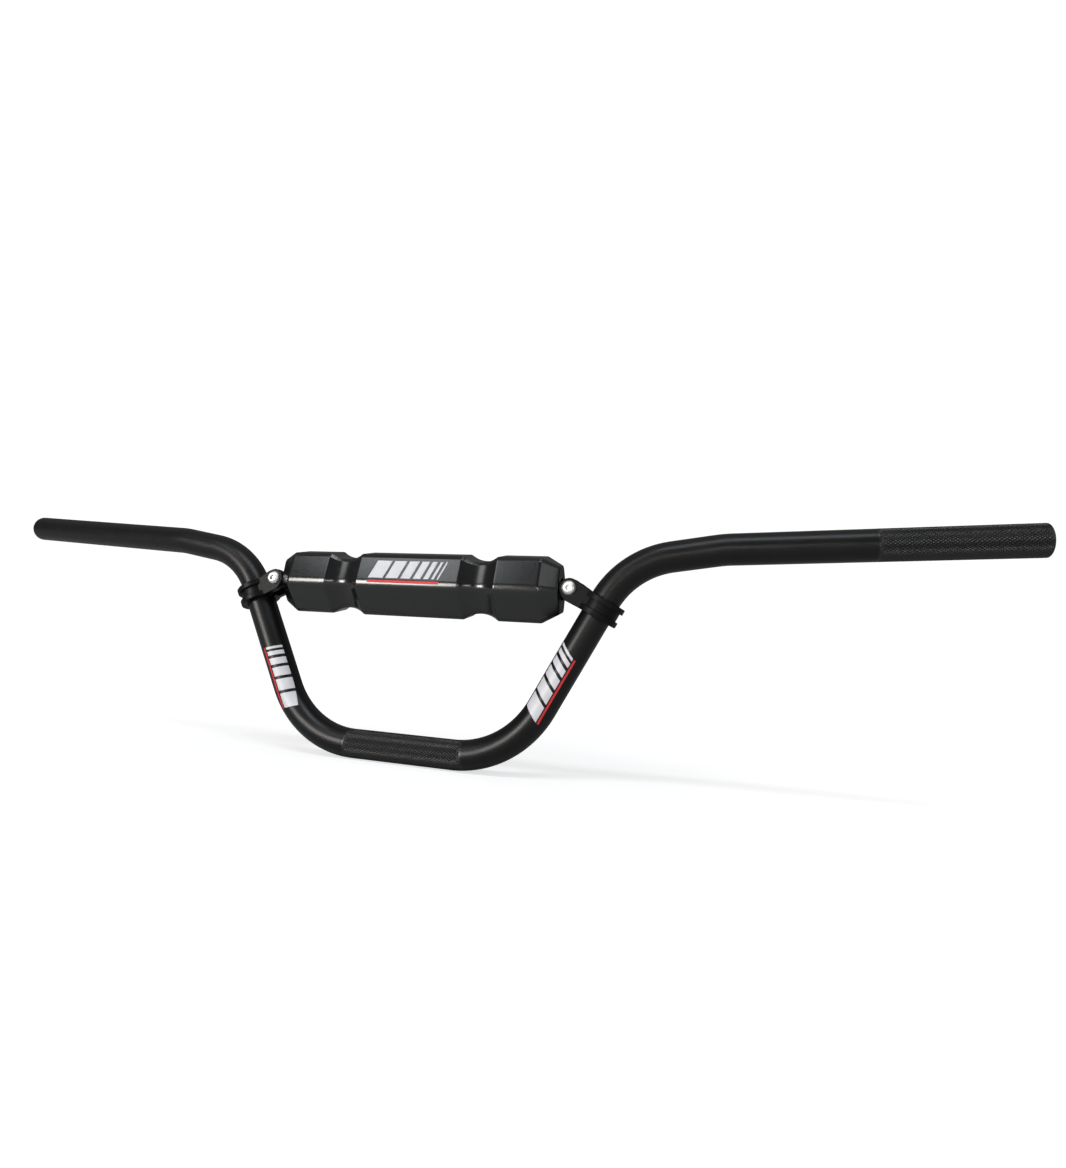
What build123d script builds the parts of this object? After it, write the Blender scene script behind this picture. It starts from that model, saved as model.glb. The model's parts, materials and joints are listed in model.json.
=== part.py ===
"""Motorcycle handlebar with a crossbar and a crossbar pad.

Frame: the origin is on the tube axis, at the middle of the centre clamp seat.
+X runs to the rider's left, +Y to the rear (towards the rider), +Z up along the
plane of the two risers. Millimetres.
"""
from build123d import *
import math
import os

os.makedirs("parts", exist_ok=True)

# ------------------------------------------------------------------ dimensions
TUBE_R = 11.1            # 22.2 mm bar, the size of every grip and lever clamp
TUBE_BORE_R = 7.5        # 3.6 mm wall
CORNER_1 = (86.6, 0.0, 0.0)        # centre run meets riser
CORNER_2 = (163.1, 0.0, 146.6)     # riser meets shoulder
CORNER_3 = (229.6, 1.0, 157.6)     # shoulder meets grip run, where the bar sweeps back
BAR_END = (425.0, 19.1, 170.6)
BEND_1, BEND_2, BEND_3 = 74.0, 64.0, 77.0
END_CHAMFER = 0.6

COLLAR_S = 127.7         # collar centre, measured along the riser from CORNER_1
COLLAR_W = 14.8
COLLAR_FLANGE_W = 4.3
COLLAR_R = 15.9          # over the two flanges
COLLAR_WEB_R = 13.9      # in the groove
COLLAR_BORE_R = 11.14
BOLT_REACH = 24.9        # bolt axis to tube axis
BOLT_RISE = 1.3          # bolt axis above the collar's middle
EAR_GAP = 6.0            # half the gap between the two ears
EAR_T = 5.2

BOLT_R = 3.0             # M6
BOLT_LEN = 30.0
HOLE_R = 3.2
HEAD_R, HEAD_H = 5.3, 3.3
HEX_AF = 4.0
WASHER_R, WASHER_T = 6.2, 1.2
NUT_AF, NUT_H = 10.0, 5.6

BRACE_R = 6.35           # crossbar tube, 12.7 mm
BRACE_BORE_R = 4.35
BRACE_HALF = 105.0
SPIGOT_L = 22.0
EYE_R = 6.8
NECK_H = 9.6

PAD_TILT = 13.7          # the pad's nose points down by this much in this frame
PAD_HALF = 116.4
PAD_SHELL = 2.6
PAD_BORE_R = 6.42        # running fit on the crossbar
MOUTH_R = 8.2            # opening at each end, round the crossbar's neck
# the pad's section: forward, up
PAD_SECTION = [(22.8, 0.7), (12.0, 21.0), (9.2, 23.6), (-9.2, 23.6), (-12.0, 21.0),
               (-22.8, 0.7), (-12.0, -21.9), (-9.2, -24.4), (9.2, -24.4), (12.0, -21.9)]
# half stations along the pad: distance from the middle, scale of the section forward and up
WAIST = (42.5, 70.0)     # a round waist between the middle block and each outer block
WAIST_DEPTH = 0.195
END_SCALE = (0.53, 0.72)
GRAPHIC_T = 0.12

# ------------------------------------------------------------- derived geometry
P1, P2 = Vector(*CORNER_1), Vector(*CORNER_2)
RISER = (P2 - P1).normalized()
OUTWARD = Vector(RISER.Z, 0, -RISER.X)          # square to the riser, away from the middle
COLLAR_C = P1 + RISER * COLLAR_S
BOLT = COLLAR_C - OUTWARD * BOLT_REACH + RISER * BOLT_RISE
COLLAR_PLANE = Plane(origin=COLLAR_C, x_dir=OUTWARD, z_dir=RISER)
CX, CZ = BOLT.X, BOLT.Z                          # the crossbar's axis is at Y = 0, Z = CZ
TILT = math.radians(PAD_TILT)
FORWARD = Vector(0, -math.cos(TILT), -math.sin(TILT))
UPWARD = Vector(0, -math.sin(TILT), math.cos(TILT))


def flip(point):
    return (-point[0], point[1], point[2])


def bar_points():
    half = [CORNER_1, CORNER_2, CORNER_3, BAR_END]
    return [flip(p) for p in reversed(half)] + half


# ---------------------------------------------------------------- handlebar tube
with BuildPart() as handlebar_tube:
    with BuildLine() as bar_path:
        FilletPolyline(*bar_points(), radius=[BEND_3, BEND_2, BEND_1, BEND_1, BEND_2, BEND_3])
    # one run or bend at a time, so that every run is an exact cylinder
    for run in bar_path.line.edges():
        with BuildSketch(Plane(origin=run @ 0, z_dir=run % 0)) as bar_section:
            Circle(TUBE_R)
            Circle(TUBE_BORE_R, mode=Mode.SUBTRACT)
        sweep(bar_section.sketch, path=run)
    rims = handlebar_tube.edges().filter_by(GeomType.CIRCLE).sort_by(Axis.X)
    chamfer([*rims[:2], *rims[-2:]], END_CHAMFER)
handlebar_tube.part.label = "handlebar_tube"
export_step(handlebar_tube.part, "parts/handlebar_tube.step")

# ----------------------------------------------------- split collar on each riser
EAR_PLANE = Plane(origin=(0, -EAR_GAP - EAR_T, 0), x_dir=(1, 0, 0), z_dir=(0, -1, 0))


def ear_outline():
    # boss round the bolt, widened towards the collar and down to the strap's lower edge
    root_top = COLLAR_C - OUTWARD * 9.0 + RISER * (COLLAR_W / 2 - 1.4)
    root_low = COLLAR_C - OUTWARD * 9.0 - RISER * (COLLAR_W / 2 - 1.4)
    with Locations((CX, CZ)):
        Circle(7.3)
    with Locations((CX + 3.3, CZ + 1.0)):
        Circle(5.2)
    with Locations((CX + 1.2, CZ - 3.2)):
        Circle(7.0)
    with Locations((root_top.X, root_top.Z), (root_low.X, root_low.Z)):
        Circle(1.4)
    make_hull()


with BuildPart() as clamp_ears:
    # two ears, front and rear, with their outer rims bevelled
    for offset_y in (0, -2 * EAR_GAP - EAR_T):
        with BuildSketch(EAR_PLANE.offset(offset_y)):
            ear_outline()
        extrude(amount=-EAR_T)
    chamfer([*clamp_ears.edges().group_by(Axis.Y)[0], *clamp_ears.edges().group_by(Axis.Y)[-1]], 0.5)

with BuildPart() as crossbar_clamp_right:
    with BuildSketch(Plane(origin=COLLAR_C, x_dir=OUTWARD, z_dir=Vector(0, -1, 0))):
        with BuildLine():
            w, f = COLLAR_W / 2, COLLAR_W / 2 - COLLAR_FLANGE_W
            Polyline((9.0, -w), (COLLAR_R - 0.6, -w), (COLLAR_R, -w + 0.6), (COLLAR_R, -f - 0.35), (COLLAR_R - 0.35, -f),
                     (COLLAR_WEB_R, -f), (COLLAR_WEB_R, f), (COLLAR_R - 0.35, f), (COLLAR_R, f + 0.35),
                     (COLLAR_R, w - 0.6), (COLLAR_R - 0.6, w), (9.0, w), close=True)
        make_face()
    revolve(axis=Axis(COLLAR_C, RISER))
    add(clamp_ears.part)
    # bore, slit and the room for the crossbar's eye
    with BuildSketch(COLLAR_PLANE.offset(-COLLAR_W)):
        Circle(COLLAR_BORE_R)
    extrude(amount=2 * COLLAR_W, mode=Mode.SUBTRACT)
    with BuildSketch(COLLAR_PLANE.offset(-COLLAR_W)):
        with Locations((-14.0, 0)):
            Rectangle(9.0, 3.0)
        with Locations((-13.4 - 12.0, 0)):
            Rectangle(24.0, 2 * EAR_GAP)
    extrude(amount=2 * COLLAR_W, mode=Mode.SUBTRACT)
    # bolt hole through both ears
    with BuildSketch(Plane(origin=(CX, -20, CZ), x_dir=(1, 0, 0), z_dir=(0, 1, 0))):
        Circle(HOLE_R)
    extrude(amount=40, mode=Mode.SUBTRACT)
crossbar_clamp_right.part.label = "crossbar_clamp_right"
export_step(crossbar_clamp_right.part, "parts/crossbar_clamp_right.step")

with BuildPart() as crossbar_clamp_left:
    mirror(crossbar_clamp_right.part, about=Plane.YZ)
crossbar_clamp_left.part.label = "crossbar_clamp_left"
export_step(crossbar_clamp_left.part, "parts/crossbar_clamp_left.step")

# ------------------------------------------------------------------ clamp screws
HEAD_Y = -EAR_GAP - EAR_T - 0.02
TAIL_Y = EAR_GAP + EAR_T + 0.02


def bolt_plane(x, y):
    return Plane(origin=(x, y, CZ), x_dir=(1, 0, 0), z_dir=(0, 1, 0))


for side, name in ((1, "right"), (-1, "left")):
    x = side * CX
    with BuildPart() as clamp_bolt:
        with BuildSketch(Plane(origin=(x, HEAD_Y, CZ), x_dir=(1, 0, 0), z_dir=(0, 0, 1))):
            with BuildLine():
                Line((0, 0), (HEAD_R, 0))
                Line((HEAD_R, 0), (HEAD_R, -0.7))
                ThreePointArc((HEAD_R, -0.7), (4.4, -2.45), (2.9, -HEAD_H))
                Line((2.9, -HEAD_H), (0, -HEAD_H))
                Line((0, -HEAD_H), (0, 0))
            make_face()
        revolve(axis=Axis((x, 0, CZ), (0, 1, 0)))
        with BuildSketch(bolt_plane(x, HEAD_Y)):
            Circle(BOLT_R)
        extrude(amount=BOLT_LEN)
        with BuildSketch(bolt_plane(x, HEAD_Y - HEAD_H)):
            RegularPolygon(HEX_AF / 2, 6, major_radius=False)
        extrude(amount=2.2, mode=Mode.SUBTRACT)
        tip = clamp_bolt.faces().sort_by(Axis.Y)[-1]
        chamfer(tip.edges(), 0.6)
    clamp_bolt.part.label = "clamp_bolt_" + name
    export_step(clamp_bolt.part, "parts/clamp_bolt_" + name + ".step")

    with BuildPart() as clamp_washer:
        with BuildSketch(bolt_plane(x, TAIL_Y)):
            Circle(WASHER_R)
            Circle(HOLE_R, mode=Mode.SUBTRACT)
        extrude(amount=WASHER_T)
    clamp_washer.part.label = "clamp_washer_" + name
    export_step(clamp_washer.part, "parts/clamp_washer_" + name + ".step")

    with BuildPart() as clamp_nut:
        with BuildSketch(bolt_plane(x, TAIL_Y + WASHER_T + 0.02)):
            RegularPolygon(NUT_AF / 2, 6, major_radius=False)
        extrude(amount=NUT_H)
        with BuildSketch(Plane(origin=(x, TAIL_Y + WASHER_T + 0.02, CZ), x_dir=(1, 0, 0), z_dir=(0, 0, 1))):
            with BuildLine():
                Polyline((0, 0), (5.0, 0), (5.9, 0.8), (5.9, NUT_H - 1.6), (4.6, NUT_H), (0, NUT_H), close=True)
            make_face()
        revolve(axis=Axis((x, 0, CZ), (0, 1, 0)), mode=Mode.INTERSECT)
        with BuildSketch(bolt_plane(x, TAIL_Y)):
            Circle(BOLT_R + 0.02)
        extrude(amount=10, mode=Mode.SUBTRACT)
    clamp_nut.part.label = "clamp_nut_" + name
    export_step(clamp_nut.part, "parts/clamp_nut_" + name + ".step")

# --------------------------------------------------------------------- crossbar
CROSS_PLANE = Plane(origin=(-BRACE_HALF, 0, CZ), x_dir=(0, 1, 0), z_dir=(1, 0, 0))
with BuildPart() as crossbar_tube:
    with BuildSketch(CROSS_PLANE):
        Circle(BRACE_R)
        Circle(BRACE_BORE_R, mode=Mode.SUBTRACT)
    extrude(amount=2 * BRACE_HALF)
crossbar_tube.part.label = "crossbar_tube"
export_step(crossbar_tube.part, "parts/crossbar_tube.step")

for side, name in ((1, "right"), (-1, "left")):
    x = side * CX
    with BuildPart() as crossbar_end:
        # spigot in the tube, shoulder, then the flat neck and the eye
        with BuildSketch(Plane(origin=(side * (BRACE_HALF - SPIGOT_L), 0, CZ), x_dir=(0, 1, 0), z_dir=(side, 0, 0))):
            Circle(BRACE_BORE_R - 0.02)
        extrude(amount=SPIGOT_L + 1)
        with BuildSketch(Plane(origin=(side * (BRACE_HALF + 0.02), 0, CZ), x_dir=(0, 1, 0), z_dir=(side, 0, 0))):
            Circle(BRACE_R)
        extrude(amount=4)
        with BuildSketch(Plane(origin=(0, -EAR_GAP + 0.05, 0), x_dir=(1, 0, 0), z_dir=(0, 1, 0))):
            with Locations((x, -CZ)):
                Circle(EYE_R)
            with Locations((side * (BRACE_HALF + CX) / 2, -CZ)):
                Rectangle(CX - BRACE_HALF - 0.04, NECK_H)
        extrude(amount=2 * EAR_GAP - 0.1)
        with BuildSketch(bolt_plane(x, -20)):
            Circle(HOLE_R)
        extrude(amount=40, mode=Mode.SUBTRACT)
    crossbar_end.part.label = "crossbar_end_" + name
    export_step(crossbar_end.part, "parts/crossbar_end_" + name + ".step")


# -------------------------------------------------------------------------- pad
def inset(points, depth):
    """The polygon moved inwards by depth on every side."""
    out = []
    n = len(points)
    for i in range(n):
        (ax, ay), (bx, by), (cx, cy) = points[i - 1], points[i], points[(i + 1) % n]
        lines = []
        for (px, py), (qx, qy) in (((ax, ay), (bx, by)), ((bx, by), (cx, cy))):
            length = math.hypot(qx - px, qy - py)
            nx, ny = -(qy - py) / length, (qx - px) / length
            if nx * (px + qx) + ny * (py + qy) > 0:
                nx, ny = -nx, -ny
            lines.append((nx, ny, nx * (px + nx * depth) + ny * (py + ny * depth)))
        (a1, b1, c1), (a2, b2, c2) = lines
        det = a1 * b2 - a2 * b1
        out.append(((c1 * b2 - c2 * b1) / det, (a1 * c2 - a2 * c1) / det))
    return out


def waist_scale(d):
    """The waist's profile is a circular arc, as deep as WAIST_DEPTH of the section."""
    half, sag = (WAIST[1] - WAIST[0]) / 2, WAIST_DEPTH * PAD_SECTION[2][1]
    radius = (half * half + sag * sag) / (2 * sag)
    cut = math.sqrt(radius ** 2 - (d - sum(WAIST) / 2) ** 2) - (radius - sag)
    return 1 - max(0.0, cut) / PAD_SECTION[2][1]


def stations(depth):
    half = [(WAIST[0] + (WAIST[1] - WAIST[0]) * i / 8, 0) for i in range(9)]
    half = [(d, waist_scale(d), waist_scale(d)) for d, _ in half]
    half += [(103.5, 1.0, 1.0), (PAD_HALF - depth, *END_SCALE)]
    return [(-d, ka, kb) for d, ka, kb in reversed(half)] + half


def pad_solid(depth, mode):
    """The pad's outer form, moved inwards by depth."""
    sections = []
    for d, ka, kb in stations(depth):
        points = [(a * ka, b * kb) for a, b in PAD_SECTION]
        with BuildSketch(Plane(origin=(d, 0, CZ), x_dir=FORWARD, z_dir=(-1, 0, 0))) as section:
            Polygon(*(inset(points, depth) if depth else points), align=None)
        sections.append(section.sketch)
    loft(sections, ruled=True, mode=mode)


def pad_bore(radius, start=-PAD_HALF - 1.0, length=2 * PAD_HALF + 2.0):
    with BuildSketch(Plane(origin=(start, 0, CZ), x_dir=(0, 1, 0), z_dir=(1, 0, 0))) as bore:
        Circle(radius)
    extrude(bore.sketch, amount=length, mode=Mode.SUBTRACT)


PARTING = Plane(origin=(0, 0, CZ), x_dir=(1, 0, 0), z_dir=FORWARD)
with BuildPart() as pad_shell:
    pad_solid(0, Mode.ADD)
    pad_solid(PAD_SHELL, Mode.SUBTRACT)
    pad_bore(MOUTH_R)
with BuildPart() as pad_core:
    pad_solid(PAD_SHELL + 0.03, Mode.ADD)
    pad_bore(PAD_BORE_R)
    for start in (-PAD_HALF, BRACE_HALF - 0.6):      # room for the crossbar's flat necks
        pad_bore(MOUTH_R, start, PAD_HALF - BRACE_HALF + 0.6)
    # shallow seats for the closure tapes on the mating faces
    for up in (1, -1):
        with BuildSketch(PARTING.offset(-1.25)):
            with Locations((0, up * 12.6)):
                Rectangle(190.0, 7.0)
        extrude(amount=2.5, mode=Mode.SUBTRACT)

for shape, kind in ((pad_shell, "shell"), (pad_core, "core")):
    for keep, where in ((Keep.TOP, "front"), (Keep.BOTTOM, "rear")):
        with BuildPart() as half:
            add(shape.part)
            split(bisect_by=PARTING, keep=keep)
        name = "pad_" + where + "_" + kind if kind == "shell" else "pad_core_" + where
        half.part.label = name
        export_step(half.part, "parts/" + name + ".step")

for name, start in (("pad_hook_tape", 0.02), ("pad_loop_tape", -1.22)):
    with BuildPart() as tape:
        for up in (1, -1):
            with BuildSketch(PARTING.offset(start)):
                with Locations((0, up * 12.6)):
                    Rectangle(189.6, 6.6)
            extrude(amount=1.2)
    tape.part.label = name
    export_step(tape.part, "parts/" + name + ".step")

# ---------------------------------------------------------------- printed stripes
crease, edge = PAD_SECTION[0], PAD_SECTION[1]
CREASE = Vector(0, 0, CZ) + FORWARD * crease[0] + UPWARD * crease[1]
EDGE = Vector(0, 0, CZ) + FORWARD * edge[0] + UPWARD * edge[1]
FACET_UP = (EDGE - CREASE).normalized()
FACET = Plane(origin=CREASE, x_dir=(1, 0, 0), z_dir=Vector(1, 0, 0).cross(FACET_UP)).offset(0.02)
SLANT = 0.38


def bar(x0, x1, y0, y1):
    """A slanted bar: x0 to x1 at its foot, leaning to +X."""
    Polygon((x0 + SLANT * y0, y0), (x1 + SLANT * y0, y0), (x1 + SLANT * y1, y1), (x0 + SLANT * y1, y1), align=None)


PAD_BARS = [(-34.5, -22.0), (-19.5, -9.5), (-7.0, 1.0), (3.5, 9.5), (12.0, 16.0), (18.5, 20.5), (23.0, 24.2)]
with BuildPart() as pad_graphic:
    with BuildSketch(FACET):
        for x0, x1 in PAD_BARS:
            bar(x0, x1, 6.4, 20.6)
    extrude(amount=GRAPHIC_T)
pad_graphic.part.label = "pad_graphic"
export_step(pad_graphic.part, "parts/pad_graphic.step")
with BuildPart() as pad_graphic_accent:
    with BuildSketch(FACET):
        bar(-33.5, 25.5, 2.6, 4.6)
    extrude(amount=GRAPHIC_T)
pad_graphic_accent.part.label = "pad_graphic_accent"
export_step(pad_graphic_accent.part, "parts/pad_graphic_accent.step")

# the same stripes round the front of each riser: (from, to) up the riser, angles of the bars,
# angles of the accent, lean
RISER_BARS = {
    "right": ([(42.0, 54.0), (56.5, 66.0), (68.5, 76.0), (78.5, 84.0), (86.5, 90.0), (92.0, 94.0)], (-55.0, 20.0), (25.0, 33.0), -0.5),
    "left": ([(24.0, 36.0), (38.5, 48.0), (50.5, 58.0), (60.5, 66.0), (68.5, 72.0), (74.0, 76.0)], (-60.0, 9.0), (14.0, 22.0), 0.2),
}


with BuildPart() as print_sleeve:
    with BuildLine() as sleeve_path:
        FilletPolyline(flip(CORNER_2), flip(CORNER_1), CORNER_1, CORNER_2, radius=[BEND_1, BEND_1])
    with BuildSketch(Plane(origin=sleeve_path.line @ 0, z_dir=sleeve_path.line % 0)):
        Circle(TUBE_R + 0.02 + GRAPHIC_T)
        Circle(TUBE_R + 0.02, mode=Mode.SUBTRACT)
    sweep()


def riser_frame(side):
    along = Vector(side * RISER.X, 0, RISER.Z)
    return Vector(side * P1.X, 0, 0), along, Vector(side * along.Z, 0, -side * along.X)


def riser_bars(side, spans, angles, slope=0.0):
    """Slanted bars wrapped on the tube: a thin sleeve on the bar, cut by leaning slabs."""
    base, along, out = riser_frame(side)
    add(print_sleeve.part)
    a0, a1 = (math.radians(a) for a in angles)
    face = Plane(origin=base, x_dir=out, z_dir=Vector(0, -1, 0))
    up = 1 if face.y_dir.dot(along) > 0 else -1
    n0, n1 = TUBE_R * math.sin(a0), TUBE_R * math.sin(a1)
    with BuildSketch(face) as slabs:
        for s0, s1 in spans:
            lean = slope * (n1 - n0)
            Polygon((n0, up * s0), (n1, up * (s0 + lean)), (n1, up * (s1 + lean)), (n0, up * s1), align=None)
    extrude(slabs.sketch, amount=20, mode=Mode.INTERSECT)


for side, name in ((1, "right"), (-1, "left")):
    spans, main_angles, accent_angles, slope = RISER_BARS[name]
    with BuildPart() as graphic:
        riser_bars(side, spans, main_angles, slope)
    graphic.part.label = "riser_graphic_" + name
    export_step(graphic.part, "parts/riser_graphic_" + name + ".step")
    with BuildPart() as accent:
        shift = slope * TUBE_R * (math.sin(math.radians(accent_angles[0])) - math.sin(math.radians(main_angles[0])))
        riser_bars(side, [(spans[0][0] + shift, spans[-1][1] + shift)], accent_angles)
    accent.part.label = "riser_accent_" + name
    export_step(accent.part, "parts/riser_accent_" + name + ".step")
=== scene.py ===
import bpy, bmesh, json, math
import numpy as np
from mathutils import Vector, Matrix


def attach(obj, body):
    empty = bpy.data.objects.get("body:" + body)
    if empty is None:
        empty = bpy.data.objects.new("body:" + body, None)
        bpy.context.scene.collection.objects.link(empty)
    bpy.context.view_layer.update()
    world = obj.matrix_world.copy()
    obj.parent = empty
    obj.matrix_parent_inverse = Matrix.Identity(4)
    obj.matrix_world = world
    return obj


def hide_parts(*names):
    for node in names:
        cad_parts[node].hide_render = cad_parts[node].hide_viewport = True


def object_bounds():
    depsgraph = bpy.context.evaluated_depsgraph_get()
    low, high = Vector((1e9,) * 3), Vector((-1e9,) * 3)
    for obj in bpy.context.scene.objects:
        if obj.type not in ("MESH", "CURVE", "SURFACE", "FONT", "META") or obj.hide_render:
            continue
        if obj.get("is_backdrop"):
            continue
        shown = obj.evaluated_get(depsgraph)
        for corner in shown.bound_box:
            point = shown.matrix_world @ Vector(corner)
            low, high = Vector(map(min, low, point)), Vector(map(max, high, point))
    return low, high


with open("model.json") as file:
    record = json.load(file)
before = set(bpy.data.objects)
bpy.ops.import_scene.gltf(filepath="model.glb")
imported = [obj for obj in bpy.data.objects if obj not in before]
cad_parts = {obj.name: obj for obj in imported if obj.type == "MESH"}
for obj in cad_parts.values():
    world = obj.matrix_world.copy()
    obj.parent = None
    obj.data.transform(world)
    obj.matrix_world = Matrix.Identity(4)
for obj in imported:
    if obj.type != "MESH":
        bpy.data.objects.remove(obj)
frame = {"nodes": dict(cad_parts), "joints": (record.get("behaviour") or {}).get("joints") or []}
nodes = frame["nodes"]
CAD_LO, CAD_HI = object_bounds()
MM = 0.001

# ------------------------------------------------------------------ camera
CAM_AT = Vector((0.243557, -0.480323, 0.066333))
CAM_RIGHT = Vector((0.95488636, 0.28812052, 0.07196251))
CAM_DOWN = Vector((0.03242369, 0.13972430, -0.98965945))
CAM_FORWARD = Vector((-0.29519610, 0.94734560, 0.12407890))
cam_data = bpy.data.cameras.new("camera")
cam = bpy.data.objects.new("camera", cam_data)
bpy.context.scene.collection.objects.link(cam)
cam_data.sensor_fit = "AUTO"
cam_data.sensor_width = 36.0
cam_data.lens = 684.888 * 36.0 / 1168.0
cam_data.clip_start, cam_data.clip_end = 0.01, 50.0
rot = Matrix((CAM_RIGHT, -CAM_DOWN, -CAM_FORWARD)).transposed()
cam.matrix_world = Matrix.Translation(CAM_AT) @ rot.to_4x4()
bpy.context.scene.camera = cam

# --------------------------------------------------------------- materials
def new_material(name):
    m = bpy.data.materials.new(name)
    m.use_nodes = True
    nt = m.node_tree
    nt.nodes.clear()
    out = nt.nodes.new("ShaderNodeOutputMaterial")
    bsdf = nt.nodes.new("ShaderNodeBsdfPrincipled")
    nt.links.new(bsdf.outputs[0], out.inputs[0])
    return m, nt, bsdf


def node(nt, kind, **props):
    n = nt.nodes.new(kind)
    for k, v in props.items():
        if k.startswith("in_"):
            n.inputs[k[3:].replace("_", " ")].default_value = v
        else:
            setattr(n, k, v)
    return n


def noise(nt, coords, scale, detail=3.0, rough=0.55, kind="ShaderNodeTexNoise"):
    n = node(nt, kind)
    n.inputs["Scale"].default_value = scale
    n.inputs["Detail"].default_value = detail
    n.inputs["Roughness"].default_value = rough
    nt.links.new(coords, n.inputs["Vector"])
    return n


def ramp(nt, fac, stops):
    r = node(nt, "ShaderNodeValToRGB")
    el = r.color_ramp.elements
    while len(el) < len(stops):
        el.new(0.5)
    for e, (pos, val) in zip(el, stops):
        e.position = pos
        e.color = (*val, 1) if isinstance(val, tuple) else (val, val, val, 1)
    nt.links.new(fac, r.inputs["Fac"])
    return r


def math_node(nt, op, a, b=None, c=None):
    n = node(nt, "ShaderNodeMath", operation=op)
    for i, v in enumerate((a, b, c)):
        if v is None:
            continue
        if isinstance(v, (int, float)):
            n.inputs[i].default_value = v
        else:
            nt.links.new(v, n.inputs[i])
    return n.outputs[0]


def bump(nt, heights, bsdf):
    """Chains (height socket, strength, distance in metres) into the shader's normal."""
    last = None
    for h, strength, dist in heights:
        b = node(nt, "ShaderNodeBump")
        b.inputs["Strength"].default_value = strength
        b.inputs["Distance"].default_value = dist
        nt.links.new(h, b.inputs["Height"])
        if last is not None:
            nt.links.new(last, b.inputs["Normal"])
        last = b.outputs[0]
    nt.links.new(last, bsdf.inputs["Normal"])


def object_coords(nt):
    return node(nt, "ShaderNodeTexCoord").outputs["Object"]


def anodised(name, base, rough_lo, rough_hi, grain=0.16, wear=0.25, metallic=0.0, spec=0.5):
    """Satin black anodising over blasted metal: fine grain, cloudy sheen, faint scuffs."""
    m, nt, b = new_material(name)
    co = object_coords(nt)
    cloud = noise(nt, co, 55.0, 4.0)
    fine = noise(nt, co, 2600.0, 2.0)
    scuff = noise(nt, co, 420.0, 5.0, 0.7)
    lum = ramp(nt, cloud.outputs["Fac"], [(0.30, tuple(c * 0.80 for c in base)), (0.70, tuple(c * 1.22 for c in base))])
    speck = ramp(nt, scuff.outputs["Fac"], [(0.60, 0.0), (0.78, wear)])
    mix = node(nt, "ShaderNodeMix", data_type="RGBA", blend_type="MIX")
    nt.links.new(speck.outputs["Color"], mix.inputs["Factor"])
    nt.links.new(lum.outputs["Color"], mix.inputs["A"])
    mix.inputs["B"].default_value = (base[0] * 2.4, base[1] * 2.4, base[2] * 2.4, 1)
    nt.links.new(mix.outputs["Result"], b.inputs["Base Color"])
    r = math_node(nt, "MULTIPLY_ADD", cloud.outputs["Fac"], rough_hi - rough_lo, rough_lo)
    r2 = math_node(nt, "MULTIPLY_ADD", fine.outputs["Fac"], 0.06, r)
    nt.links.new(r2, b.inputs["Roughness"])
    b.inputs["Metallic"].default_value = metallic
    b.inputs["Specular IOR Level"].default_value = spec
    bump(nt, [(fine.outputs["Fac"], grain, 0.00012), (cloud.outputs["Fac"], 0.05, 0.0004)], b)
    return m


M_TUBE = anodised("bar_anodised", (0.0034, 0.0034, 0.0037), 0.28, 0.36, grain=0.08, spec=0.29)
M_KNURL = anodised("bar_knurl", (0.0030, 0.0030, 0.0032), 0.25, 0.33, grain=0.03, wear=0.5, spec=0.50)
M_CLAMP = anodised("clamp_anodised", (0.0030, 0.0030, 0.0034), 0.32, 0.40, grain=0.08, wear=0.35, spec=0.14)
M_BRACE = anodised("crossbar_metal", (0.020, 0.020, 0.021), 0.35, 0.45)


def moulded(name, base):
    """Moulded pad skin: leather-fine mould grain, semi-gloss, a slight orange peel and cloudy sheen."""
    m, nt, b = new_material(name)
    co = object_coords(nt)
    cells = node(nt, "ShaderNodeTexVoronoi", feature="F1")
    cells.inputs["Scale"].default_value = 1500.0
    nt.links.new(co, cells.inputs["Vector"])
    peel = noise(nt, co, 260.0, 3.0)
    fine = noise(nt, co, 3200.0, 2.0)
    cloud = noise(nt, co, 28.0, 4.0)
    lum = ramp(nt, cloud.outputs["Fac"], [(0.30, tuple(c * 0.85 for c in base)), (0.72, tuple(c * 1.18 for c in base))])
    nt.links.new(lum.outputs["Color"], b.inputs["Base Color"])
    r = math_node(nt, "MULTIPLY_ADD", peel.outputs["Fac"], 0.06, 0.12)
    nt.links.new(math_node(nt, "MULTIPLY_ADD", fine.outputs["Fac"], 0.08, r), b.inputs["Roughness"])
    b.inputs["Specular IOR Level"].default_value = 0.75
    bump(nt, [(cells.outputs["Distance"], 0.10, 0.00012), (peel.outputs["Fac"], 0.04, 0.0004), (fine.outputs["Fac"], 0.05, 0.0001)], b)
    return m


M_PAD = moulded("pad_skin", (0.0032, 0.0033, 0.0036))


def foam(name, base):
    m, nt, b = new_material(name)
    co = object_coords(nt)
    cells = node(nt, "ShaderNodeTexVoronoi", feature="F1")
    cells.inputs["Scale"].default_value = 900.0
    nt.links.new(co, cells.inputs["Vector"])
    # the pores are darker at their cell centres, where the bump sinks them: painted shade in the pits
    lum = ramp(nt, cells.outputs["Distance"], [(0.0, tuple(c * 0.5 for c in base)), (0.6, tuple(c * 1.3 for c in base))])
    nt.links.new(lum.outputs["Color"], b.inputs["Base Color"])
    b.inputs["Roughness"].default_value = 0.9
    bump(nt, [(cells.outputs["Distance"], 0.8, 0.0006)], b)
    return m


M_FOAM = foam("pad_foam", (0.035, 0.035, 0.036))
M_TAPE = foam("closure_tape", (0.02, 0.02, 0.02))


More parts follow.
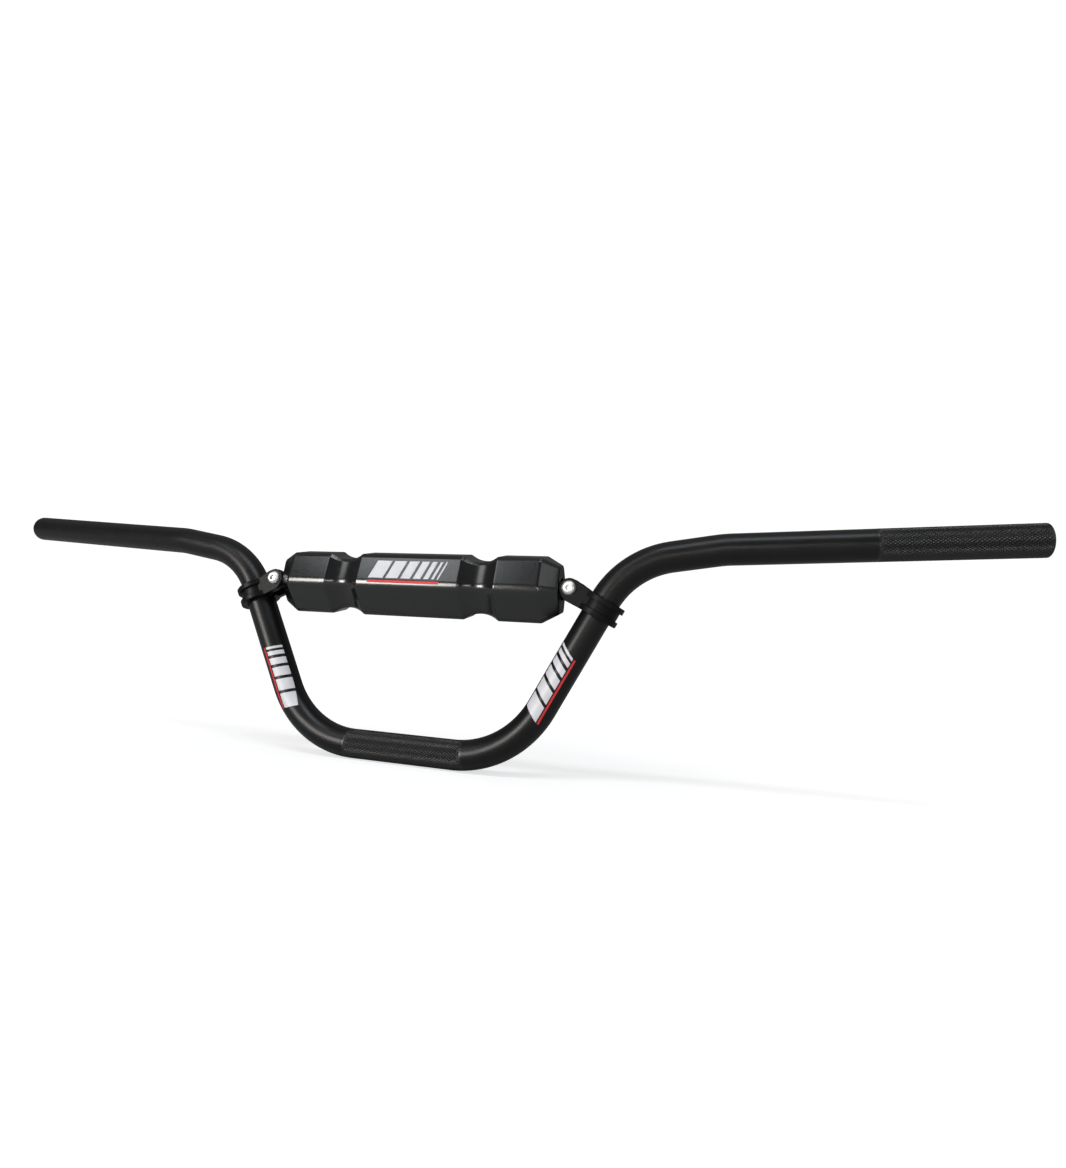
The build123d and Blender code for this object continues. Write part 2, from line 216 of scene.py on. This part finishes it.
def bright_steel(name):
    """Bright zinc plate: tiny dimples and a slightly uneven sheen."""
    m, nt, b = new_material(name)
    co = object_coords(nt)
    cloud = noise(nt, co, 380.0, 4.0)
    fine = noise(nt, co, 3000.0, 3.0)
    lum = ramp(nt, cloud.outputs["Fac"], [(0.3, (0.80, 0.80, 0.79)), (0.7, (0.92, 0.92, 0.90))])
    nt.links.new(lum.outputs["Color"], b.inputs["Base Color"])
    b.inputs["Metallic"].default_value = 1.0
    r = math_node(nt, "MULTIPLY_ADD", cloud.outputs["Fac"], 0.14, 0.32)
    nt.links.new(math_node(nt, "MULTIPLY_ADD", fine.outputs["Fac"], 0.06, r), b.inputs["Roughness"])
    bump(nt, [(fine.outputs["Fac"], 0.12, 0.0001)], b)
    return m


M_STEEL = bright_steel("bolt_steel")


def printed(name, base):
    """Screen-printed vinyl: near-flat ink with faint mottling and pinholes."""
    m, nt, b = new_material(name)
    co = object_coords(nt)
    cloud = noise(nt, co, 160.0, 4.0)
    fine = noise(nt, co, 2400.0, 2.0)
    lum = ramp(nt, cloud.outputs["Fac"], [(0.3, tuple(c * 0.93 for c in base)), (0.7, tuple(min(1.0, c * 1.03) for c in base))])
    nt.links.new(lum.outputs["Color"], b.inputs["Base Color"])
    nt.links.new(math_node(nt, "MULTIPLY_ADD", fine.outputs["Fac"], 0.12, 0.34), b.inputs["Roughness"])
    bump(nt, [(fine.outputs["Fac"], 0.06, 0.0001)], b)
    return m


M_WHITE = printed("print_white", (0.61, 0.61, 0.65))
M_RED = printed("print_red", (0.62, 0.025, 0.03))


def set_material(obj, mat):
    obj.data.materials.clear()
    obj.data.materials.append(mat)


for n, mat in {
    "crossbar_tube": M_BRACE, "crossbar_end_left": M_CLAMP, "crossbar_end_right": M_CLAMP,
    "crossbar_clamp_left": M_CLAMP, "crossbar_clamp_right": M_CLAMP,
    "clamp_bolt_left": M_STEEL, "clamp_bolt_right": M_STEEL, "clamp_washer_left": M_STEEL,
    "clamp_washer_right": M_STEEL, "clamp_nut_left": M_STEEL, "clamp_nut_right": M_STEEL,
    "pad_core_front": M_FOAM, "pad_core_rear": M_FOAM, "pad_hook_tape": M_TAPE, "pad_loop_tape": M_TAPE,
    "pad_graphic": M_WHITE, "riser_graphic_left": M_WHITE, "riser_graphic_right": M_WHITE,
    "pad_graphic_accent": M_RED, "riser_accent_left": M_RED, "riser_accent_right": M_RED,
}.items():
    o = nodes[n]
    o.material_slots[0].material = mat
    for i in range(1, len(o.material_slots)):
        o.material_slots[i].material = mat


def link_mesh(name, verts, faces, mat, body, slot, smooth=True):
    me = bpy.data.meshes.new(name)
    me.from_pydata([tuple(v) for v in verts], [], faces)
    me.update()
    o = bpy.data.objects.new(name, me)
    bpy.context.scene.collection.objects.link(o)
    me.materials.append(mat)
    if smooth:
        me.polygons.foreach_set("use_smooth", [True] * len(me.polygons))
    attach(o, body)
    return o


# -------------------------------------------------------------- bar's centreline
C1, C2, C3, C4 = (np.array(p, float) for p in ((86.6, 0, 0), (163.1, 0, 146.6), (229.6, 1.0, 157.6), (425.0, 19.1, 170.6)))
FLIP = np.array([-1, 1, 1.0])
BAR = [C4 * FLIP, C3 * FLIP, C2 * FLIP, C1 * FLIP, C1, C2, C3, C4]
BENDS = [77.0, 64.0, 74.0, 74.0, 64.0, 77.0]
TUBE_R, TUBE_IN = 11.1, 7.5


def segments(points, radii):
    out, cur = [], points[0]
    for i, r in enumerate(radii, 1):
        a = points[i] - points[i - 1]; a /= np.linalg.norm(a)
        b = points[i + 1] - points[i]; b /= np.linalg.norm(b)
        turn = math.acos(float(np.clip(a @ b, -1, 1)))
        t = r * math.tan(turn / 2)
        start = points[i] - a * t
        c = b - a * (a @ b); c /= np.linalg.norm(c)
        out.append(("line", cur, a, float(np.linalg.norm(start - cur))))
        out.append(("arc", start, a, c, r, turn))
        cur = points[i] + b * t
    b = points[-1] - cur
    out.append(("line", cur, b / np.linalg.norm(b), float(np.linalg.norm(b))))
    return out


SEGS = segments(BAR, BENDS)


def at(s):
    for g in SEGS:
        length = g[3] if g[0] == "line" else g[4] * g[5]
        if s <= length or g is SEGS[-1]:
            if g[0] == "line":
                return g[1] + g[2] * s, g[2]
            _, start, a, c, r, _ = g
            ph = s / r
            return start + a * r * math.sin(ph) + c * r * (1 - math.cos(ph)), a * math.cos(ph) + c * math.sin(ph)
        s -= length


LENGTH = sum(g[3] if g[0] == "line" else g[4] * g[5] for g in SEGS)


def s_of_x(x):
    lo, hi = 0.0, LENGTH
    for _ in range(50):
        mid = (lo + hi) / 2
        if at(mid)[0][0] < x:
            lo = mid
        else:
            hi = mid
    return (lo + hi) / 2


# knurled zones: (from, to) along the bar
PITCH, STEP = 2.8, 0.7
CELLS = 37
AROUND = CELLS * 4
KNURL_DEPTH = 0.36
zones = []
for x0, x1 in ((-46.0, 52.5), (324.7, None)):
    a = s_of_x(x0)
    b = s_of_x(x1) if x1 is not None else LENGTH - 0.6
    zones.append((a, a + STEP * int((b - a) / STEP)))

stations = [0.0, 0.15, 0.35, 0.6]
marks = sorted({z for zone in zones for z in zone} | {LENGTH - 0.6})
edges = [0.6] + marks
i = 0
for lo, hi in zip(edges[:-1], edges[1:]):
    zone = any(abs(lo - a) < 1e-6 and abs(hi - b) < 1e-6 for a, b in zones)
    step = STEP if zone else 3.4
    n = max(1, round((hi - lo) / step))
    stations += [lo + (hi - lo) * k / n for k in range(1, n + 1)]
stations += [LENGTH - 0.35, LENGTH - 0.15, LENGTH]
stations = sorted(set(round(s, 6) for s in stations))


def tri(v):
    v = v - math.floor(v)
    return 2 * min(v, 1 - v)


def make_tube():
    verts, faces, flat = [], [], []
    _, t0 = at(0.0)
    ref = np.array([0.0, 0.0, 1.0]); u = ref - t0 * (ref @ t0); u /= np.linalg.norm(u)
    rows = []
    for s in stations:
        p, t = at(s)
        u = u - t * (u @ t); u /= np.linalg.norm(u)
        rows.append((s, p, t, u.copy(), np.cross(t, u)))
    theta = np.arange(AROUND) * 2 * math.pi / AROUND
    ct, st = np.cos(theta), np.sin(theta)
    # offset of the pattern so that each zone starts on a lattice row
    inside = []
    for s, p, t, uu, vv in rows:
        r = np.full(AROUND, TUBE_R)
        zone = next((z for z in zones if z[0] - 1e-5 <= s <= z[1] + 1e-5), None)
        inside.append(zone is not None)
        if zone:
            k = (s - zone[0]) / PITCH
            end = min(1.0, (s - zone[0]) / PITCH, (zone[1] - s) / PITCH) if zone[1] < LENGTH - 2 else min(1.0, (s - zone[0]) / PITCH)
            j = np.arange(AROUND) / 4.0
            a, b = (j + k) % 1.0, (j - k) % 1.0
            ta, tb = 2 * np.minimum(a, 1 - a), 2 * np.minimum(b, 1 - b)
            h = np.minimum(1.0, 2.0 * np.minimum(ta, tb))
            r = TUBE_R + 0.02 * end - KNURL_DEPTH * end * (1 - h)
        rim = min(s, LENGTH - s)
        if rim < 0.6:
            r = r - (0.6 - math.sqrt(max(0.0, 0.36 - (0.6 - rim) ** 2)))
        ring = p[None, :] + (uu[None, :] * ct[:, None] + vv[None, :] * st[:, None]) * r[:, None]
        verts.append(ring)
    outer_rows = len(rows)
    # bore: from the right end back to the left, coarser
    bore_s, s = [], 0.0
    acc = 0.0
    for g in SEGS:
        length = g[3] if g[0] == "line" else g[4] * g[5]
        n = 1 if g[0] == "line" else 10
        for k in range(n):
            bore_s.append(acc + length * k / n)
        acc += length
    bore_s = [0.0, 0.5] + [b for b in bore_s if 1.0 < b < LENGTH - 1.0] + [LENGTH - 0.5, LENGTH]
    _, t0 = at(0.0)
    u = ref - t0 * (ref @ t0); u /= np.linalg.norm(u)
    bore = []
    for s in bore_s:
        p, t = at(s)
        u = u - t * (u @ t); u /= np.linalg.norm(u)
        v = np.cross(t, u)
        r = TUBE_IN + (0.5 if s < 0.1 or s > LENGTH - 0.1 else 0.0)
        bore.append(p[None, :] + (u[None, :] * ct[:, None] + v[None, :] * st[:, None]) * r)
    verts += bore[::-1]
    total = len(verts)
    V = np.concatenate(verts) * MM
    idx = np.arange(AROUND)
    nxt = (idx + 1) % AROUND
    smooth = []
    for i in range(total):
        j = (i + 1) % total
        quad = np.stack([i * AROUND + idx, i * AROUND + nxt, j * AROUND + nxt, j * AROUND + idx], 1)
        knurl = i < outer_rows - 1 and inside[i] and inside[i + 1]
        if not knurl:
            faces += quad.tolist()
            smooth += [True] * AROUND
            continue
        # a cell row crossed by a groove is split along it, so every diamond keeps four flat facets
        z0 = next(z[0] for z in zones if z[0] - 1e-5 <= rows[i][0] <= z[1] + 1e-5)
        k = round((rows[i][0] - z0) / STEP)
        for n, (q0, q1, q2, q3) in enumerate(quad.tolist()):
            if (n + 1 + k) % 4 == 0:
                faces += [[q0, q1, q3], [q1, q2, q3]]
            elif (n - k) % 4 == 0:
                faces += [[q0, q1, q2], [q0, q2, q3]]
            else:
                faces.append([q0, q1, q2, q3])
        smooth += [False] * (len(faces) - len(smooth))
    me = bpy.data.meshes.new("bar_tube")
    me.from_pydata(V.tolist(), [], faces)
    me.polygons.foreach_set("use_smooth", smooth)
    me.update()
    bm = bmesh.new(); bm.from_mesh(me)
    bmesh.ops.recalc_face_normals(bm, faces=bm.faces)
    bm.to_mesh(me); bm.free()
    me.set_sharp_from_angle(angle=math.radians(35))
    o = bpy.data.objects.new("bar_tube", me)
    bpy.context.scene.collection.objects.link(o)
    me.materials.append(M_TUBE)
    me.materials.append(M_KNURL)
    me.polygons.foreach_set("material_index", [0 if v else 1 for v in smooth])
    return o


tube = make_tube()
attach(tube, "bar")
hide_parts("handlebar_tube")

# ------------------------------------------------------------------------- pad
CZ = frame["joints"][0]["pos_m"][2] * 1000
TILT = math.radians(13.7)
FWD = np.array([0, -math.cos(TILT), -math.sin(TILT)])
UPW = np.array([0, -math.sin(TILT), math.cos(TILT)])
HALF_L = 116.4
SHELL_T = 2.6
MOUTH = 8.2
CORNERS = [(0.0, 23.6, 0.0), (9.2, 23.6, 1.6), (12.0, 21.0, 1.6), (22.8, 0.7, 11.0), (12.0, -21.9, 1.6), (9.2, -24.4, 1.6), (0.0, -24.4, 0.0)]


def rounded_half(ka, kb, depth=0.0, steps=5):
    """Half section from top to bottom with its corners rounded, moved inwards by depth."""
    pts = [(a * ka, b * kb) for a, b, _ in CORNERS]
    k = min(ka, kb)
    out = []
    n = len(pts)
    for i, (a, b) in enumerate(pts):
        r = CORNERS[i][2] * k
        if i in (0, n - 1):
            out.append((a, b, (0.0, 1.0 if i == 0 else -1.0)))
            continue
        p = np.array(pts[i]); d0 = p - np.array(pts[i - 1]); d1 = np.array(pts[i + 1]) - p
        l0, l1 = np.linalg.norm(d0), np.linalg.norm(d1)
        d0, d1 = d0 / l0, d1 / l1
        turn = math.acos(float(np.clip(d0 @ d1, -1, 1)))
        t = min(r * math.tan(turn / 2), 0.45 * min(l0, l1))
        r = t / math.tan(turn / 2)
        n0 = np.array([-d0[1], d0[0]]); n1 = np.array([-d1[1], d1[0]])
        c = p - d0 * t - n0 * r if (p - d0 * t + n0 * r) @ (p - d0 * t + n0 * r) > (p - d0 * t - n0 * r) @ (p - d0 * t - n0 * r) else p - d0 * t + n0 * r
        s0 = p - d0 * t - c
        a0 = math.atan2(s0[1], s0[0])
        s1 = p + d1 * t - c
        a1 = math.atan2(s1[1], s1[0])
        for j in range(steps + 1):
            ang = a0 + (a1 - a0) * j / steps
            q = c + r * np.array([math.cos(ang), math.sin(ang)])
            out.append((q[0], q[1], (math.cos(ang), math.sin(ang))))
    # the points are copied as they are; a count of extra points for each flat is worked out but none are added
    res = []
    for (p, q) in zip(out[:-1], out[1:]):
        res.append(p)
        gap = math.hypot(q[0] - p[0], q[1] - p[1])
        m = int(gap // 4.0) if gap > 4 * 1.2 else 0
    res.append(out[-1])
    return np.array([(a - nx * depth, b - ny * depth) for a, b, (nx, ny) in res])


WAIST = (42.5, 70.0)
SAG = 0.195 * 23.6
W_HALF = (WAIST[1] - WAIST[0]) / 2
W_R = (W_HALF ** 2 + SAG ** 2) / (2 * SAG)


def raw_scale(x):
    x = abs(x)
    if x <= WAIST[0] or (x >= WAIST[1] and x <= 103.5):
        return 1.0, 1.0
    if x < WAIST[1]:
        cut = math.sqrt(W_R ** 2 - (x - sum(WAIST) / 2) ** 2) - (W_R - SAG)
        return 1 - max(0, cut) / 23.6, 1 - max(0, cut) / 23.6
    t = (x - 103.5) / (HALF_L - 103.5)
    return 1 + (0.53 - 1) * t, 1 + (0.72 - 1) * t


def scale_at(x, w=0.9):
    xs = [x + w * (i / 6.0) for i in range(-6, 7)]
    lim = HALF_L
    vals = [raw_scale(min(abs(v), lim + 3) if abs(v) <= lim else lim + (abs(v) - lim)) for v in xs]
    return sum(v[0] for v in vals) / 13, sum(v[1] for v in vals) / 13


def pad_stations():
    xs = set()
    for x0, x1, n in ((0.0, 41.0, 8), (41.0, 44.0, 8), (44.0, 68.5, 22), (68.5, 71.5, 8), (71.5, 102.0, 6), (102.0, 105.0, 8), (105.0, 114.4, 5)):
        for i in range(n + 1):
            xs.add(round(x0 + (x1 - x0) * i / n, 4))
    return sorted({-x for x in xs} | xs)


def pad_half(name, forward):
    """One moulded half: outer skin, rounded end rims, mouths, inner skin and the mating faces."""
    side = 1 if forward else -1
    rings = []
    xs = pad_stations()

    def place(x, sec):
        return np.array([np.array([x, 0, CZ]) + FWD * (side * a) + UPW * b for a, b in sec])

    def seam(sec):
        """Returns an unchanged copy of the section."""
        sec = sec.copy()
        return sec

    ec = 0.9                                     # rim rounding
    def end_rings(sign):
        out = []
        ka, kb = raw_scale(HALF_L - ec)
        ke = raw_scale(HALF_L)
        for j in range(1, 6):
            ph = math.pi / 2 * j / 5
            x = HALF_L - ec + ec * math.sin(ph)
            kk = raw_scale(x)
            out.append((sign * x, rounded_half(*kk, depth=ec * (1 - math.cos(ph)) * 0.9)))
        return out

    left = [(x, s) for x, s in end_rings(-1)][::-1]
    right = end_rings(1)
    mid = [(x, rounded_half(*scale_at(x))) for x in xs if abs(x) <= HALF_L - ec + 1e-6]
    outer = left + mid + right
    n = len(outer[0][1])
    # mouth: a half circle matched to the section's points by share of its length
    rim = outer[-1][1]
    d = np.r_[0, np.cumsum(np.hypot(*np.diff(rim, axis=0).T))]; d /= d[-1]
    circ = lambda r: np.array([(r * math.sin(math.pi * t), r * math.cos(math.pi * t)) for t in d])
    path = [place(x, s) for x, s in outer]
    face_mid = rim * 0.5 + circ(MOUTH + 0.5) * 0.5
    path.append(place(HALF_L, face_mid))
    path.append(place(HALF_L, circ(MOUTH + 0.5)))
    path.append(place(HALF_L - 0.15, circ(MOUTH + 0.15)))
    path.append(place(HALF_L - 0.5, circ(MOUTH)))
    path.append(place(HALF_L - SHELL_T, circ(MOUTH)))
    inner_x = [x for x in xs[::-1] if abs(x) < HALF_L - SHELL_T - 0.5][::3]
    inner_end = rounded_half(*raw_scale(HALF_L - SHELL_T), depth=SHELL_T * 0.96)
    path.append(place(HALF_L - SHELL_T, inner_end))
    for x in inner_x:
        path.append(place(x, rounded_half(*raw_scale(x), depth=SHELL_T * 0.96)))
    path.append(place(-HALF_L + SHELL_T, inner_end))
    path.append(place(-HALF_L + SHELL_T, circ(MOUTH)))
    path.append(place(-HALF_L + 0.5, circ(MOUTH)))
    path.append(place(-HALF_L + 0.15, circ(MOUTH + 0.15)))
    path.append(place(-HALF_L, circ(MOUTH + 0.5)))
    path.append(place(-HALF_L, face_mid))
    m = len(path)
    V = np.concatenate(path) * MM
    faces = []
    for i in range(m):
        j = (i + 1) % m
        for k in range(n - 1):
            faces.append((i * n + k, i * n + k + 1, j * n + k + 1, j * n + k))
    me = bpy.data.meshes.new(name)
    me.from_pydata(V.tolist(), [], faces)
    me.update()
    bm = bmesh.new(); bm.from_mesh(me)
    bm.verts.ensure_lookup_table()
    for k in (0, n - 1):
        loop = [bm.verts[i * n + k] for i in range(m)]
        es = []
        for a, b in zip(loop, loop[1:] + loop[:1]):
            e = bm.edges.get((a, b))
            if e:
                es.append(e)
        bmesh.ops.triangle_fill(bm, use_beauty=True, use_dissolve=False, edges=es)
    bmesh.ops.recalc_face_normals(bm, faces=bm.faces)
    # a fine chamfer along the mating edges
    seam_edges = [e for e in bm.edges if len(e.link_faces) == 2 and e.calc_face_angle(0) > math.radians(60)
                  and all(abs(float(np.array(v.co) @ FWD / MM - np.array([0, 0, CZ]) @ FWD)) < 1e-3 for v in e.verts)]
    bmesh.ops.bevel(bm, geom=seam_edges, offset=0.00022, segments=2, affect="EDGES", profile=0.5, clamp_overlap=True)
    for f in bm.faces:
        f.smooth = True
    bm.to_mesh(me); bm.free()
    me.set_sharp_from_angle(angle=math.radians(32))
    o = bpy.data.objects.new(name, me)
    bpy.context.scene.collection.objects.link(o)
    me.materials.append(M_PAD)
    wn = o.modifiers.new("normals", "WEIGHTED_NORMAL")
    wn.keep_sharp = True
    wn.weight = 60
    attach(o, "pad")
    return o


pad_front = pad_half("pad_front", True)
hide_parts("pad_front_shell")
pad_rear = pad_half("pad_rear", False)
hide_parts("pad_rear_shell")

# ------------------------------------------------------------ floor and light
floor_me = bpy.data.meshes.new("floor")
S = 6.0
z = CAD_LO.z - 0.0002
floor_me.from_pydata([(-S, -S, z), (S, -S, z), (S, S, z), (-S, S, z)], [], [(0, 1, 2, 3)])
floor = bpy.data.objects.new("floor", floor_me)
bpy.context.scene.collection.objects.link(floor)
fm, nt, b = new_material("floor_paper")
co = object_coords(nt)
mott = noise(nt, co, 9.0, 3.0)
lum = ramp(nt, mott.outputs["Fac"], [(0.3, (0.59, 0.59, 0.59)), (0.7, (0.61, 0.61, 0.61))])
nt.links.new(lum.outputs["Color"], b.inputs["Base Color"])
b.inputs["Roughness"].default_value = 0.9
b.inputs["Specular IOR Level"].default_value = 0.1
b.inputs["Emission Color"].default_value = (1, 1, 1, 1)
path = nt.nodes.new("ShaderNodeLightPath")
place = nt.nodes.new("ShaderNodeNewGeometry")
reach = nt.nodes.new("ShaderNodeVectorMath"); reach.operation = "LENGTH"
nt.links.new(place.outputs["Position"], reach.inputs[0])
fade = nt.nodes.new("ShaderNodeMapRange")
fade.inputs["From Min"].default_value = 0.18
fade.inputs["From Max"].default_value = 1.0
fade.inputs["To Min"].default_value = 0.61
fade.inputs["To Max"].default_value = 0.95
nt.links.new(reach.outputs["Value"], fade.inputs["Value"])
glow = math_node(nt, "MULTIPLY_ADD", path.outputs["Is Camera Ray"], fade.outputs["Result"], 0.03)
nt.links.new(glow, b.inputs["Emission Strength"])
floor_me.materials.append(fm)
floor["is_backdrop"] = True

world = bpy.data.worlds.new("world")
bpy.context.scene.world = world
world.use_nodes = True
nt = world.node_tree
nt.nodes.clear()
out = nt.nodes.new("ShaderNodeOutputWorld")
mixs = nt.nodes.new("ShaderNodeMixShader")
lp = nt.nodes.new("ShaderNodeLightPath")
bg_cam = nt.nodes.new("ShaderNodeBackground")
bg_cam.inputs[0].default_value = (1, 1, 1, 1)
bg_cam.inputs[1].default_value = 1.05
bg_env = nt.nodes.new("ShaderNodeBackground")
tc = nt.nodes.new("ShaderNodeTexCoord")
sep = nt.nodes.new("ShaderNodeSeparateXYZ")
nt.links.new(tc.outputs["Generated"], sep.inputs[0])
r = ramp(nt, math_node(nt, "MULTIPLY_ADD", sep.outputs["Z"], 0.5, 0.5), [(0.0, 0.08), (0.5, 0.09), (0.70, 0.12), (1.0, 0.32)])
nt.links.new(r.outputs["Color"], bg_env.inputs[0])
bg_env.inputs[1].default_value = 1.0
nt.links.new(lp.outputs["Is Camera Ray"], mixs.inputs[0])
nt.links.new(bg_env.outputs[0], mixs.inputs[1])
nt.links.new(bg_cam.outputs[0], mixs.inputs[2])
nt.links.new(mixs.outputs[0], out.inputs[0])


def area(name, azimuth, elevation, dist, size, size_y, radiance, color=(1, 1, 1), look=(0.0, 0.0, 0.08)):
    """A soft box seen from look at azimuth (degrees from -Y towards +X) and elevation."""
    az, el = math.radians(azimuth), math.radians(elevation)
    d = Vector((math.sin(az) * math.cos(el), -math.cos(az) * math.cos(el), math.sin(el)))
    ld = bpy.data.lights.new(name, "AREA")
    ld.shape = "RECTANGLE"
    ld.size, ld.size_y = size, size_y
    ld.energy = radiance * math.pi * size * size_y
    ld.color = color
    o = bpy.data.objects.new(name, ld)
    bpy.context.scene.collection.objects.link(o)
    o.matrix_world = Matrix.Translation(Vector(look) + d * dist) @ d.to_track_quat("Z", "Y").to_matrix().to_4x4()
    return o


area("key_top", 16, 62, 1.9, 1.4, 0.32, 8.6, (0.88, 0.93, 1.0))
area("upper_left", -34, 39, 2.1, 0.64, 0.64, 3.3, (0.93, 0.97, 1.0))
area("upper_right", 54, 28, 2.0, 0.34, 0.50, 1.3, (0.95, 0.98, 1.0))
area("front_left", -31, 1, 2.0, 0.62, 1.00, 19.0, (1.0, 0.97, 0.92))
area("front_mid", 12, 7, 2.0, 0.75, 0.22, 9.0, (1.0, 0.97, 0.90))
area("front_right", 48, 1, 2.0, 0.26, 0.60, 12.0, (1.0, 0.98, 0.95))

bpy.context.scene.view_settings.view_transform = "Standard"
bpy.context.scene.view_settings.look = "None"
bpy.context.scene.view_settings.exposure = 0.0

lo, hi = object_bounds()
